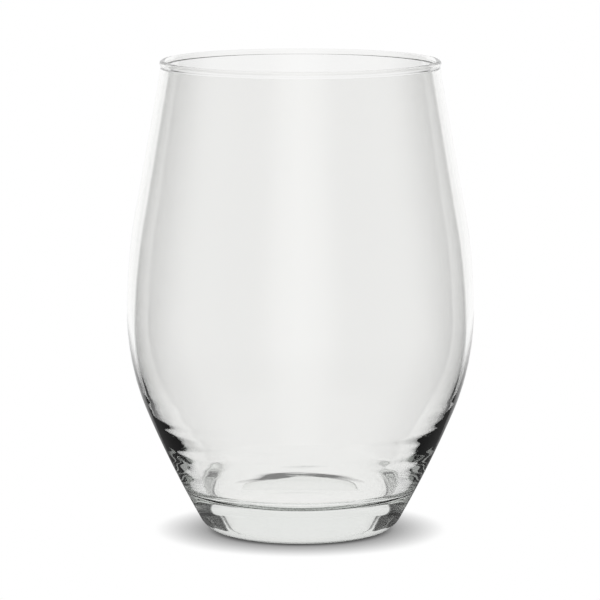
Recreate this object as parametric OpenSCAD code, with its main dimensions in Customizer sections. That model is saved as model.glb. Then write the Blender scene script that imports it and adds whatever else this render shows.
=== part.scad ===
/* [Bowl outside] */
// Height from the table to the top of the rim
glass_h = 120; // [100:1:140]
// Width at the belly, the widest place
belly_d = 88; // [80:1:100]
// Height of the belly above the table
belly_h = 56; // [50:1:62]
// Width of the mouth across the rim's bead
mouth_d = 71; // [64:1:76]
// Radius of the shoulder, as a share of the single curve that would run up to the rim
shoulder_bend = 0.66; // [0.5:0.02:0.9]
// Radius of the tuck below the belly, as a share of the single curve that would run down to the heel
tuck_bend = 0.77; // [0.7:0.01:0.9]
// Radius of the nearly straight flank between tuck and heel, as a multiple of that single curve
flank_bend = 3.3; // [1.8:0.1:6]

/* [Foot] */
// Width of the flat ring that the glass stands on, at its outer edge
foot_d = 39.6; // [34:0.2:44]
// Radius of the heel that leads from the ring into the flank
heel_r = 6.5; // [4:0.5:8]
// Width of the flat ring itself
ring_w = 3; // [2:0.5:6]
// Height of the hollow under the foot, at its centre
pushup_h = 1.2; // [0.6:0.1:3]

/* [Glass thickness] */
// Wall at the mouth, just below the bead
mouth_wall = 1.2; // [0.9:0.1:2]
// Wall at the belly
belly_wall = 1.1; // [0.8:0.1:2]
// Level distance from the outside to the centre of the cavity's corner, at the floor's height
base_wall = 4.6; // [4:0.1:7]
// Height of the inner floor above the table, at its centre
floor_h = 9.9; // [8:0.1:14]

/* [Bowl inside] */
// Radius of the cavity's curve below the belly, as a share of the single curve that would run into its corner
cavity_bend = 0.87; // [0.75:0.01:0.98]
// Radius of the corner between the wall and the floor
corner_r = 2.5; // [1.5:0.5:5]
// Radius of the floor's shallow dish
dish_r = 180; // [90:5:300]

/* [Rim] */
// How far the bead stands proud of the wall outside
bead_out = 0.3; // [0.1:0.1:0.6]
// How far the bead stands proud of the wall inside
bead_in = 0.1; // [0:0.1:0.4]

/* [Hidden] */

// Widest gap left between a curve and its facets
smooth = 0.01;
// Number of sides round the glass
sides = 180;

// Radii that the widths and walls give
belly_r = belly_d / 2;
mouth_r = mouth_d / 2;
foot_r = foot_d / 2;
ring_in_r = foot_r - ring_w;
bead_r = (mouth_wall + bead_out + bead_in) / 2;

// Where a point lies at angle a on a circle, and which way one point looks at another
function on(c, r, a) = c + r * [cos(a), sin(a)];
function aim(from, to) = atan2(to.y - from.y, to.x - from.x);

// An arc from angle a to angle b, with as many facets as the gap asks for
function facets(r, turn) = max(1, ceil(abs(turn) / (2 * acos(1 - smooth / r))));
function arc(c, r, a, b) = [for (i = [0 : facets(r, b - a)]) on(c, r, a + (b - a) * i / facets(r, b - a))];

// Curves that run into each other, where each one starts at the last one's end
function chain(curves) = [for (k = [0 : len(curves) - 1], i = [k == 0 ? 0 : 1 : len(curves[k]) - 1]) curves[k][i]];

// The point k1 from c1 and k2 from c2, left of the line from c1 to c2
function meet(c1, k1, c2, k2) =
    let (d = norm(c2 - c1))
    on(c1, k1, aim(c1, c2) + acos((d * d + k1 * k1 - k2 * k2) / (2 * d * k1)));

// The angle at which a straight line from point p touches a circle
function touch(c, r, p) = aim(c, p) - acos(r / norm(p - c));

// Radius of the curve that leaves the belly upright and runs into a circle of radius c,
// whose centre lies a closer to the axis than the belly's wall and b above or below it
function sweep(a, b, c) = (a * a + b * b - c * c) / (2 * (a - c));

// The rim's bead, and the curves outside below the belly
bead_c = [mouth_r - bead_r, glass_h - bead_r];
heel_c = [foot_r, heel_r];
heel_sweep = sweep(belly_r - heel_c.x, belly_h - heel_c.y, heel_r);
tuck_r = tuck_bend * heel_sweep;
flank_r = flank_bend * heel_sweep;
tuck_c = [belly_r - tuck_r, belly_h];
flank_c = meet(heel_c, flank_r - heel_r, tuck_c, flank_r - tuck_r);
tuck_end = on(tuck_c, tuck_r, aim(flank_c, tuck_c));

// Where the bead grows out of the wall, outside and inside
bead_out_a = -acos(1 - bead_out / bead_r);
bead_in_a = 180 + acos(1 - bead_in / bead_r);
neck_out = on(bead_c, bead_r, bead_out_a);
neck_in = on(bead_c, bead_r, bead_in_a);

// The shoulder outside and inside
cavity_r = belly_r - belly_wall;
shoulder_r = shoulder_bend * sweep(belly_r - neck_out.x, neck_out.y - belly_h, 0);
shoulder_c = [belly_r - shoulder_r, belly_h];
cavity_shoulder_r = shoulder_bend * sweep(cavity_r - neck_in.x, neck_in.y - belly_h, 0);
cavity_shoulder_c = [cavity_r - cavity_shoulder_r, belly_h];

// How far the outside lies from the axis at height z, below the belly
function side_at(z) = z < tuck_end.y
    ? flank_c.x + sqrt(flank_r * flank_r - (z - flank_c.y) * (z - flank_c.y))
    : tuck_c.x + sqrt(tuck_r * tuck_r - (z - tuck_c.y) * (z - tuck_c.y));

// The cavity's floor, its corner, and the curve below the belly
dish_c = [0, floor_h + dish_r];
corner_x = side_at(floor_h) - base_wall;
corner_c = [corner_x, dish_c.y - sqrt((dish_r - corner_r) * (dish_r - corner_r) - corner_x * corner_x)];
cavity_tuck_r = cavity_bend * sweep(cavity_r - corner_c.x, belly_h - corner_c.y, corner_r);
cavity_tuck_c = [cavity_r - cavity_tuck_r, belly_h];

// The straight wall between that curve and the corner touches both at this angle
wall_a = aim(cavity_tuck_c, corner_c) + acos((cavity_tuck_r - corner_r) / norm(corner_c - cavity_tuck_c));

// The hollow under the foot is a shallow dome that ends on the ring
pushup_r = (ring_in_r * ring_in_r + pushup_h * pushup_h) / (2 * pushup_h);
pushup_c = [0, pushup_h - pushup_r];

underside = arc(pushup_c, pushup_r, 90, aim(pushup_c, [ring_in_r, 0]));
outside = chain([
    arc(heel_c, heel_r, -90, aim(flank_c, heel_c)),
    arc(flank_c, flank_r, aim(flank_c, heel_c), aim(flank_c, tuck_c)),
    arc(tuck_c, tuck_r, aim(flank_c, tuck_c), 0),
    arc(shoulder_c, shoulder_r, 0, touch(shoulder_c, shoulder_r, neck_out))
]);
rim = arc(bead_c, bead_r, bead_out_a, bead_in_a);
wall_inside = chain([
    arc(cavity_shoulder_c, cavity_shoulder_r, touch(cavity_shoulder_c, cavity_shoulder_r, neck_in), 0),
    arc(cavity_tuck_c, cavity_tuck_r, 0, wall_a)
]);
floor_inside = chain([
    arc(corner_c, corner_r, wall_a, aim(dish_c, corner_c)),
    arc(dish_c, dish_r, aim(dish_c, corner_c), -90)
]);

// The glass is one piece, blown or pressed from one gather, so its whole section is turned at once
module glass_body() {
    color([0.86, 0.9, 0.9, 0.45])
        rotate_extrude($fn = sides)
            polygon(concat(underside, outside, rim, wall_inside, floor_inside));
}

glass_body();
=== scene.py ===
import math

import bpy
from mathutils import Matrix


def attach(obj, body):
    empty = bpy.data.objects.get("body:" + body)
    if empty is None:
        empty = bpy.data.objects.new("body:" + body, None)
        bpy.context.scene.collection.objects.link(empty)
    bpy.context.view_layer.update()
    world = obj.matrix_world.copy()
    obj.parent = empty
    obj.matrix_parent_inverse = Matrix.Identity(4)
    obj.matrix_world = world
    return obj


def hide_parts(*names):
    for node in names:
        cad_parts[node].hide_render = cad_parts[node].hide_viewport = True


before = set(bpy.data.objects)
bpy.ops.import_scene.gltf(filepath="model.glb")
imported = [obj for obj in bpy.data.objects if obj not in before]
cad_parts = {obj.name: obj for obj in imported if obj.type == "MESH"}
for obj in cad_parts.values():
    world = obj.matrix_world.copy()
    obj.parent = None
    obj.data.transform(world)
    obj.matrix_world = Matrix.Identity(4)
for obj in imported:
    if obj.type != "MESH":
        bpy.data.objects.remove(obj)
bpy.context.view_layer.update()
print("frame loaded:", sorted(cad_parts))

mm = 0.001
sameSpot = 1e-4  # mm, points closer together than this count as one

# Camera, fitted to the rim, belly and foot in the photo
cameraSetup = {
    "place": (-0.0001, -1.1, 0.214303),  # 1.1 m in front of the glass and a little above it
    "pitch": 8.04,  # degrees that it looks down
    "lens": 262.7,  # mm, a long lens
    "sensor": 36.0,  # mm
    "nearest": 0.01,  # metres that it sees from and to
    "furthest": 100.0,
}


def addCamera():
    camera = bpy.data.cameras.new("photoCamera")
    camera.lens = cameraSetup["lens"]
    camera.sensor_width = cameraSetup["sensor"]
    camera.clip_start = cameraSetup["nearest"]
    camera.clip_end = cameraSetup["furthest"]
    holder = bpy.data.objects.new("photoCamera", camera)
    holder.location = cameraSetup["place"]
    holder.rotation_euler = (math.radians(90.0 - cameraSetup["pitch"]), 0.0, 0.0)
    bpy.context.scene.collection.objects.link(holder)
    bpy.context.scene.camera = holder


addCamera()
print("camera set")


# Curves of the glass's section, in mm, where a point is (distance from the axis, height)
def pointAt(centre, radius, angle):
    turn = math.radians(angle)
    return (centre[0] + radius * math.cos(turn), centre[1] + radius * math.sin(turn))


def aimAt(start, end):
    return math.degrees(math.atan2(end[1] - start[1], end[0] - start[0]))


def arcOf(centre, radius, start, end, step):
    turn = abs(end - start)
    byTurn = math.ceil(turn / glassSizes["widestFacet"])
    byLength = math.ceil(math.radians(turn) * radius / step)
    count = max(2, byTurn, byLength)
    return [pointAt(centre, radius, start + (end - start) * i / count) for i in range(count + 1)]


def lineOf(start, end, step):
    count = max(1, math.ceil(math.dist(start, end) / step))
    return [(start[0] + (end[0] - start[0]) * i / count, start[1] + (end[1] - start[1]) * i / count)
            for i in range(count + 1)]


def meetPoint(centreA, reachA, centreB, reachB):
    # the point that lies reachA from one centre and reachB from the other
    apart = math.dist(centreA, centreB)
    bend = math.degrees(math.acos((apart ** 2 + reachA ** 2 - reachB ** 2) / (2 * apart * reachA)))
    return pointAt(centreA, reachA, aimAt(centreA, centreB) + bend)


def touchAngle(centre, radius, point):
    # where on a circle a straight line from the point touches it
    return aimAt(centre, point) - math.degrees(math.acos(radius / math.dist(centre, point)))


def sweepRadius(across, up, end):
    # radius of the curve that leaves the belly upright and runs into a circle of radius end
    return (across * across + up * up - end * end) / (2 * (across - end))


def joined(*curves):
    points = []
    for curve in curves:
        for point in curve:
            if not points or math.dist(point, points[-1]) > sameSpot:
                points.append(point)
    return points


# The glass, in the CAD model's sizes (mm), where a bend is a share of a single curve's radius
glassSizes = {
    "height": 120.0,
    "bellyRadius": 44.0,
    "bellyHeight": 56.0,
    "mouthRadius": 35.5,
    "shoulderBend": 0.66,
    "tuckBend": 0.77,
    "flankBend": 3.3,
    "footRadius": 19.8,
    "heelRadius": 6.5,
    "ringWidth": 3.0,
    "pushUp": 1.2,
    "mouthWall": 1.2,
    "bellyWall": 1.1,
    "baseWall": 4.6,
    "floorHeight": 9.9,
    "cavityBend": 0.87,
    "cornerRadius": 2.5,
    "dishRadius": 180.0,
    "beadOut": 0.3,
    "beadIn": 0.1,
    # from here on it is the render's own
    "turns": 240,  # facets round the axis
    "step": 0.6,  # mm between rings
    "rimStep": 0.08,  # mm between rings on the bead
    "widestFacet": 4.0,  # degrees of an arc that one facet may span
    "rippleDepth": 0.04,  # mm at the most
    "rippleMiddle": 26.0,  # mm above the table, where the ripples are deepest
    "rippleReach": 15.0,  # mm above and below it, where they end
    # bands across the wall: share, radians per mm of height, sway, sways round the glass and both starts
    "rippleBands": ((1.0, 1.3, 1.2, 2, 0.5, 0.0), (0.5, 2.3, -1.1, 3, 0.0, 2.0)),
    # flutes up the wall: share, how many there are, lean in radians per mm of height and start
    "rippleFlutes": (0.4, 9, 0.16, 0.7),
}


def glassProfile(sizes):
    # the section, from the middle of the underside round to the middle of the cavity's floor
    step = sizes["step"]
    belly, lift = sizes["bellyRadius"], sizes["bellyHeight"]
    heelRadius, cornerRadius, dishRadius = sizes["heelRadius"], sizes["cornerRadius"], sizes["dishRadius"]
    # underside, from the middle of the push-up to the bearing ring
    ringIn = sizes["footRadius"] - sizes["ringWidth"]
    domeRadius = (ringIn ** 2 + sizes["pushUp"] ** 2) / (2 * sizes["pushUp"])
    dome = (0.0, sizes["pushUp"] - domeRadius)
    under = joined(
        arcOf(dome, domeRadius, 90.0, aimAt(dome, (ringIn, 0.0)), step),
        lineOf((ringIn, 0.0), (sizes["footRadius"], 0.0), step))
    # rim bead, and where it grows out of the wall
    beadRadius = (sizes["mouthWall"] + sizes["beadOut"] + sizes["beadIn"]) / 2
    bead = (sizes["mouthRadius"] - beadRadius, sizes["height"] - beadRadius)
    beadStart = -math.degrees(math.acos(1 - sizes["beadOut"] / beadRadius))
    beadEnd = 180 + math.degrees(math.acos(1 - sizes["beadIn"] / beadRadius))
    neckOut = pointAt(bead, beadRadius, beadStart)
    neckIn = pointAt(bead, beadRadius, beadEnd)
    rim = arcOf(bead, beadRadius, beadStart, beadEnd, sizes["rimStep"])
    # outside, from the heel up to the bead
    heel = (sizes["footRadius"], heelRadius)
    heelSweep = sweepRadius(belly - heel[0], lift - heel[1], heelRadius)
    tuckRadius, flankRadius = sizes["tuckBend"] * heelSweep, sizes["flankBend"] * heelSweep
    tuck = (belly - tuckRadius, lift)
    flank = meetPoint(heel, flankRadius - heelRadius, tuck, flankRadius - tuckRadius)
    leaveHeel, leaveFlank = aimAt(flank, heel), aimAt(flank, tuck)
    shoulderRadius = sizes["shoulderBend"] * sweepRadius(belly - neckOut[0], neckOut[1] - lift, 0.0)
    shoulder = (belly - shoulderRadius, lift)
    leaveShoulder = touchAngle(shoulder, shoulderRadius, neckOut)
    outside = joined(
        arcOf(heel, heelRadius, -90.0, leaveHeel, step),
        arcOf(flank, flankRadius, leaveHeel, leaveFlank, step),
        arcOf(tuck, tuckRadius, leaveFlank, 0.0, step),
        arcOf(shoulder, shoulderRadius, 0.0, leaveShoulder, step),
        lineOf(pointAt(shoulder, shoulderRadius, leaveShoulder), neckOut, step))
    # cavity, from the bead down to the middle of its floor
    cavity = belly - sizes["bellyWall"]
    innerShoulderRadius = sizes["shoulderBend"] * sweepRadius(cavity - neckIn[0], neckIn[1] - lift, 0.0)
    innerShoulder = (cavity - innerShoulderRadius, lift)
    reachShoulder = touchAngle(innerShoulder, innerShoulderRadius, neckIn)
    dish = (0.0, sizes["floorHeight"] + dishRadius)
    sideAtFloor = flank[0] + math.sqrt(flankRadius ** 2 - (sizes["floorHeight"] - flank[1]) ** 2)
    cornerX = sideAtFloor - sizes["baseWall"]
    corner = (cornerX, dish[1] - math.sqrt((dishRadius - cornerRadius) ** 2 - cornerX ** 2))
    innerTuckRadius = sizes["cavityBend"] * sweepRadius(cavity - corner[0], lift - corner[1], cornerRadius)
    innerTuck = (cavity - innerTuckRadius, lift)
    wallAngle = aimAt(innerTuck, corner) + math.degrees(
        math.acos((innerTuckRadius - cornerRadius) / math.dist(innerTuck, corner)))
    wallTop = pointAt(innerTuck, innerTuckRadius, wallAngle)
    wallFoot = pointAt(corner, cornerRadius, wallAngle)
    inside = joined(
        lineOf(neckIn, pointAt(innerShoulder, innerShoulderRadius, reachShoulder), step),
        arcOf(innerShoulder, innerShoulderRadius, reachShoulder, 0.0, step),
        arcOf(innerTuck, innerTuckRadius, 0.0, wallAngle, step),
        lineOf(wallTop, wallFoot, step),
        arcOf(corner, cornerRadius, wallAngle, aimAt(dish, corner), step),
        arcOf(dish, dishRadius, aimAt(dish, corner), -90.0, step))
    return joined(under, outside, rim, inside), len(joined(under, outside, rim))


def wallRipple(sizes, height, turn):
    # slow ripples on the inside of the thick lower wall, none above it or on the floor
    fade = max(0.0, 1.0 - ((height - sizes["rippleMiddle"]) / sizes["rippleReach"]) ** 2)
    wave, most = 0.0, 0.0
    for share, pitch, sway, sways, swayStart, start in sizes["rippleBands"]:
        wave += share * math.sin(pitch * height + sway * math.sin(sways * turn + swayStart) + start)
        most += share
    share, count, lean, start = sizes["rippleFlutes"]
    wave += share * math.sin(count * turn + lean * height + start)
    return sizes["rippleDepth"] * fade ** 2 * wave / (most + share)


def revolve(name, profile, firstInside):
    # turns the section round the axis, with the ripples on the inside only
    turns = glassSizes["turns"]
    vertices, rings = [], []
    for k, (radius, height) in enumerate(profile):
        if radius < sameSpot:
            rings.append([len(vertices)] * turns)
            vertices.append((0.0, 0.0, height * mm))
            continue
        ring = []
        for i in range(turns):
            turn = 2 * math.pi * i / turns
            across = radius - (wallRipple(glassSizes, height, turn) if k >= firstInside else 0.0)
            ring.append(len(vertices))
            vertices.append((across * math.cos(turn) * mm, across * math.sin(turn) * mm, height * mm))
        rings.append(ring)
    faces = []
    for low, high in zip(rings, rings[1:]):
        for i in range(turns):
            j = (i + 1) % turns
            face = list(dict.fromkeys((low[i], low[j], high[j], high[i])))
            if len(face) > 2:
                faces.append(face)
    mesh = bpy.data.meshes.new(name)
    mesh.from_pydata(vertices, [], faces)
    mesh.validate()
    mesh.shade_smooth()
    piece = bpy.data.objects.new(name, mesh)
    bpy.context.scene.collection.objects.link(piece)
    return piece


clearGlass = {
    "colour": (0.952, 0.952, 0.945, 1.0),
    "roughness": 0.0,
    "ior": 1.5,
    "absorbColour": (0.90, 0.91, 0.90, 1.0),
    "absorbDensity": 28.0,  # per metre, times what the colour above lacks to 1
}


def glassMaterial():
    material = bpy.data.materials.new("clearGlass")
    material.use_nodes = True
    nodes, links = material.node_tree.nodes, material.node_tree.links
    shader = nodes["Principled BSDF"]
    shader.inputs["Base Color"].default_value = clearGlass["colour"]
    shader.inputs["Roughness"].default_value = clearGlass["roughness"]
    shader.inputs["IOR"].default_value = clearGlass["ior"]
    shader.inputs["Transmission Weight"].default_value = 1.0
    absorb = nodes.new("ShaderNodeVolumeAbsorption")
    absorb.inputs["Color"].default_value = clearGlass["absorbColour"]
    absorb.inputs["Density"].default_value = clearGlass["absorbDensity"]
    links.new(absorb.outputs["Volume"], nodes["Material Output"].inputs["Volume"])
    return material


profile, firstInside = glassProfile(glassSizes)
bowl = revolve("glass_bowl", profile, firstInside)
bowl.data.materials.append(glassMaterial())
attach(bowl, "root")
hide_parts("glass_body")
print("glass built:", len(bowl.data.vertices), "points")


# Node helpers for the studio
def emptyTree(owner):
    owner.use_nodes = True
    owner.node_tree.nodes.clear()
    return owner.node_tree.nodes, owner.node_tree.links


def grey(level):
    return (level, level, level, 1.0)


def fillRamp(ramp, stops):
    # each stop is a position and a level
    elements = ramp.color_ramp.elements
    while len(elements) < len(stops):
        elements.new(0.5)
    for element, (position, level) in zip(elements, stops):
        element.position = position
        element.color = grey(level)


def rise(nodes, links, value, start, end):
    # 0 up to start, 1 from end on, and smooth between them
    step = nodes.new("ShaderNodeMapRange")
    step.interpolation_type = "SMOOTHSTEP"
    step.inputs["From Min"].default_value = start
    step.inputs["From Max"].default_value = end
    links.new(value, step.inputs["Value"])
    return step.outputs["Result"]


def blend(nodes, links, factor, low, high):
    # low where the factor is 0 and high where it is 1, each one a level or a socket
    mix = nodes.new("ShaderNodeMix")
    mix.data_type = "RGBA"
    links.new(factor, mix.inputs["Factor"])
    for socket, value in (("A", low), ("B", high)):
        if isinstance(value, float):
            mix.inputs[socket].default_value = grey(value)
        else:
            links.new(value, mix.inputs[socket])
    return mix.outputs["Result"]


def mirroredRay(nodes, links, path):
    # 1 for a ray that the glass has mirrored, outside or inside, and 0 for one that went straight through
    once = nodes.new("ShaderNodeMath")
    once.operation = "MINIMUM"
    once.inputs[1].default_value = 1.0
    links.new(path.outputs["Glossy Depth"], once.inputs[0])
    return once.outputs[0]


# The room: a bright window behind the glass, dark beside it, dim sides and a soft light behind the camera
studio = {
    # level all round, azimuth in degrees from straight behind the glass, plus to the right
    "round": ((-180, 0.92), (-165, 0.78), (-150, 0.46), (-130, 0.42), (-110, 0.5), (-92, 0.45),
              (-75, 0.05), (-42.5, 0.02), (-41, 1.0), (41, 1.0), (42.5, 0.05), (75, 0.08),
              (92, 0.45), (110, 0.5), (130, 0.42), (150, 0.46), (165, 0.78), (180, 0.92)),
    "ceiling": 1.0,  # level overhead, the same all round
    "ceilingFade": (35.0, 55.0),  # degrees above the horizon between which the ceiling begins
    "paleWall": (0.1, 0.3),  # z of a direction, between which the white seen straight through the glass ends
    "bounces": 32,
    "mirrorBounces": 16,
}


def roomLevel(nodes, links, place):
    # level of the room in the direction of a spot, and the spot's x, y and z
    axes = nodes.new("ShaderNodeSeparateXYZ")
    links.new(place, axes.inputs[0])
    turn = nodes.new("ShaderNodeMath")
    turn.operation = "ARCTAN2"
    links.new(axes.outputs["X"], turn.inputs[0])
    links.new(axes.outputs["Y"], turn.inputs[1])
    share = nodes.new("ShaderNodeMapRange")
    share.inputs["From Min"].default_value = -math.pi
    share.inputs["From Max"].default_value = math.pi
    links.new(turn.outputs[0], share.inputs["Value"])
    ramp = nodes.new("ShaderNodeValToRGB")
    fillRamp(ramp, [((azimuth + 180) / 360, level) for azimuth, level in studio["round"]])
    links.new(share.outputs["Result"], ramp.inputs["Fac"])
    return ramp.outputs["Color"], axes.outputs


def setWorld():
    # white to the camera and, near the horizon, to rays that went straight through the glass
    world = bpy.data.worlds.new("studioWorld")
    bpy.context.scene.world = world
    nodes, links = emptyTree(world)
    path = nodes.new("ShaderNodeLightPath")
    level, axes = roomLevel(nodes, links, nodes.new("ShaderNodeTexCoord").outputs["Generated"])
    fadeStart, fadeEnd = [math.sin(math.radians(angle)) for angle in studio["ceilingFade"]]
    ceilingFade = rise(nodes, links, axes["Z"], fadeStart, fadeEnd)
    room = blend(nodes, links, ceilingFade, level, studio["ceiling"])
    wallFade = rise(nodes, links, axes["Z"], *studio["paleWall"])
    wall = blend(nodes, links, wallFade, 1.0, room)
    glassSees = blend(nodes, links, mirroredRay(nodes, links, path), wall, room)
    seen = blend(nodes, links, path.outputs["Is Camera Ray"], glassSees, 1.0)
    sky = nodes.new("ShaderNodeBackground")
    links.new(seen, sky.inputs["Color"])
    out = nodes.new("ShaderNodeOutputWorld")
    links.new(sky.outputs["Background"], out.inputs["Surface"])


whiteFloor = {
    "radius": 12.0,
    "sides": 96,
    "drop": 0.00005,  # keeps the floor just clear of the bearing ring
    "mirroredShadeLevel": 0.10,  # painted shade: the floor's level close to the glass, mirrored on its outside
    "mirroredShadeFade": (0.03, 0.3),  # metres from the glass between which the painted shade gives way to the painted room level
    "insideFade": (0.04, 0.12),  # the same for the floor mirrored inside the glass, which starts white
    "shadowReach": 0.0125,
    "shadowDark": 0.05,  # level where the glass hides the whole room
    "shadowEnd": 0.95,  # how much of the room is open where the shadow ends
    "shadowSamples": 16,
}


def contactShadow(nodes, links):
    near = nodes.new("ShaderNodeAmbientOcclusion")
    near.samples = whiteFloor["shadowSamples"]
    near.inputs["Distance"].default_value = whiteFloor["shadowReach"]
    shade = nodes.new("ShaderNodeValToRGB")
    fillRamp(shade, [(0.0, whiteFloor["shadowDark"]), (whiteFloor["shadowEnd"], 1.0)])
    links.new(near.outputs["AO"], shade.inputs["Fac"])
    return shade.outputs["Color"]


def floorMaterial():
    # white with a shadow to the camera, plain white straight through the glass, painted room light mirrored
    material = bpy.data.materials.new("whiteFloor")
    nodes, links = emptyTree(material)
    path = nodes.new("ShaderNodeLightPath")
    spot = nodes.new("ShaderNodeNewGeometry").outputs["Position"]
    apart = nodes.new("ShaderNodeVectorMath")
    apart.operation = "LENGTH"
    links.new(spot, apart.inputs[0])
    distance = apart.outputs["Value"]
    # painted room light: the floor takes the room's level in its own direction, bright behind the glass and
    # dark beside it
    room = roomLevel(nodes, links, spot)[0]
    # painted shade close to the glass, for the floor mirrored on its outside, fading into the painted room
    # light
    outerShadeFade = rise(nodes, links, distance, *whiteFloor["mirroredShadeFade"])
    outerPaintedLight = blend(nodes, links, outerShadeFade, whiteFloor["mirroredShadeLevel"], room)
    # mirrored inside the glass, the floor starts white and fades into the painted room light
    innerFade = rise(nodes, links, distance, *whiteFloor["insideFade"])
    inner = blend(nodes, links, innerFade, 1.0, room)
    through = blend(nodes, links, mirroredRay(nodes, links, path), 1.0, inner)
    glassSees = blend(nodes, links, path.outputs["Is Transmission Ray"], outerPaintedLight, through)
    seen = blend(nodes, links, path.outputs["Is Camera Ray"], glassSees, contactShadow(nodes, links))
    glow = nodes.new("ShaderNodeEmission")
    links.new(seen, glow.inputs["Color"])
    out = nodes.new("ShaderNodeOutputMaterial")
    links.new(glow.outputs["Emission"], out.inputs["Surface"])
    return material


def addFloor():
    count = whiteFloor["sides"]
    corners = [(whiteFloor["radius"] * math.cos(2 * math.pi * i / count),
                whiteFloor["radius"] * math.sin(2 * math.pi * i / count), -whiteFloor["drop"])
               for i in range(count)]
    mesh = bpy.data.meshes.new("floor")
    mesh.from_pydata(corners, [], [list(range(count))])
    floor = bpy.data.objects.new("floor", mesh)
    floor.data.materials.append(floorMaterial())
    bpy.context.scene.collection.objects.link(floor)


addFloor()
setWorld()
scene = bpy.context.scene
scene.view_settings.view_transform = "Standard"
scene.cycles.max_bounces = studio["bounces"]
scene.cycles.transmission_bounces = studio["bounces"]
scene.cycles.glossy_bounces = studio["mirrorBounces"]
print("studio built")
